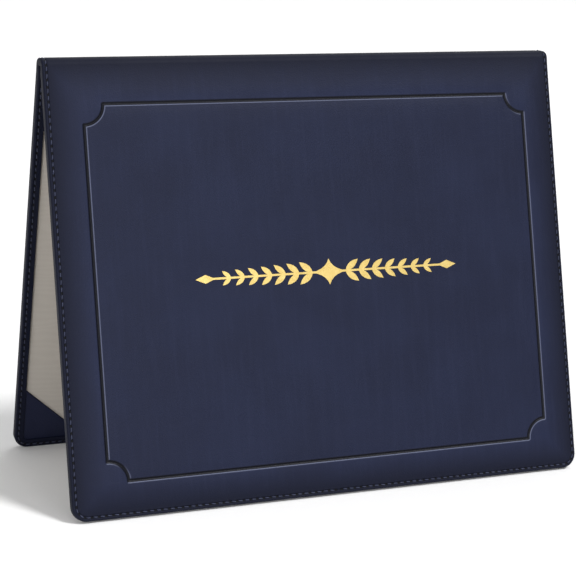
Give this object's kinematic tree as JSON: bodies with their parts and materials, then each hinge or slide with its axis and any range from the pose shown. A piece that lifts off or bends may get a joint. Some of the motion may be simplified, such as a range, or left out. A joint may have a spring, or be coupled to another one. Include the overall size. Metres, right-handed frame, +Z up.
{
  "type": "diploma cover",
  "caption": "Padded leatherette diploma cover that stands as a tent, with a debossed frame line, a gold foil stamp and corner pockets for a certificate inside.",
  "frame": {"origin": "on the floor, under the middle of the spine, with the cover standing as a tent", "axes": "+X along the spine, to the right when the padded front is faced; +Y from the front cover to the back cover; +Z up"},
  "size_m": [0.292, 0.1316, 0.2279],
  "materials": {
    "leatherette": "satin",
    "inner_leatherette": "satin",
    "lining": "matte",
    "greyboard": "matte",
    "foam": "matte",
    "gold_foil": "satin"
  },
  "bodies": {
    "spine": {"spine_skin": "leatherette", "spine_strip": "inner_leatherette"},
    "front_cover": {"front_skin": "leatherette", "front_foam": "foam", "front_board": "greyboard", "front_lining": "lining", "front_hinge_strip": "inner_leatherette", "foil_stamp": "gold_foil"},
    "back_cover": {"back_skin": "leatherette", "back_foam": "foam", "back_board": "greyboard", "back_lining": "lining", "back_hinge_strip": "inner_leatherette", "pocket_bottom_left": "inner_leatherette", "pocket_bottom_right": "inner_leatherette", "pocket_top_left": "inner_leatherette", "pocket_top_right": "inner_leatherette"}
  },
  "joints": [
    {"name": "front_fold", "type": "hinge", "parent": "spine", "child": "front_cover", "pos_m": [0, -0.0045, 0.22674], "axis": [-1, 0, 0], "range_deg": [-15, 75]},
    {"name": "back_fold", "type": "hinge", "parent": "spine", "child": "back_cover", "pos_m": [0, 0.0045, 0.22674], "axis": [1, 0, 0], "range_deg": [-15, 75]}
  ]
}
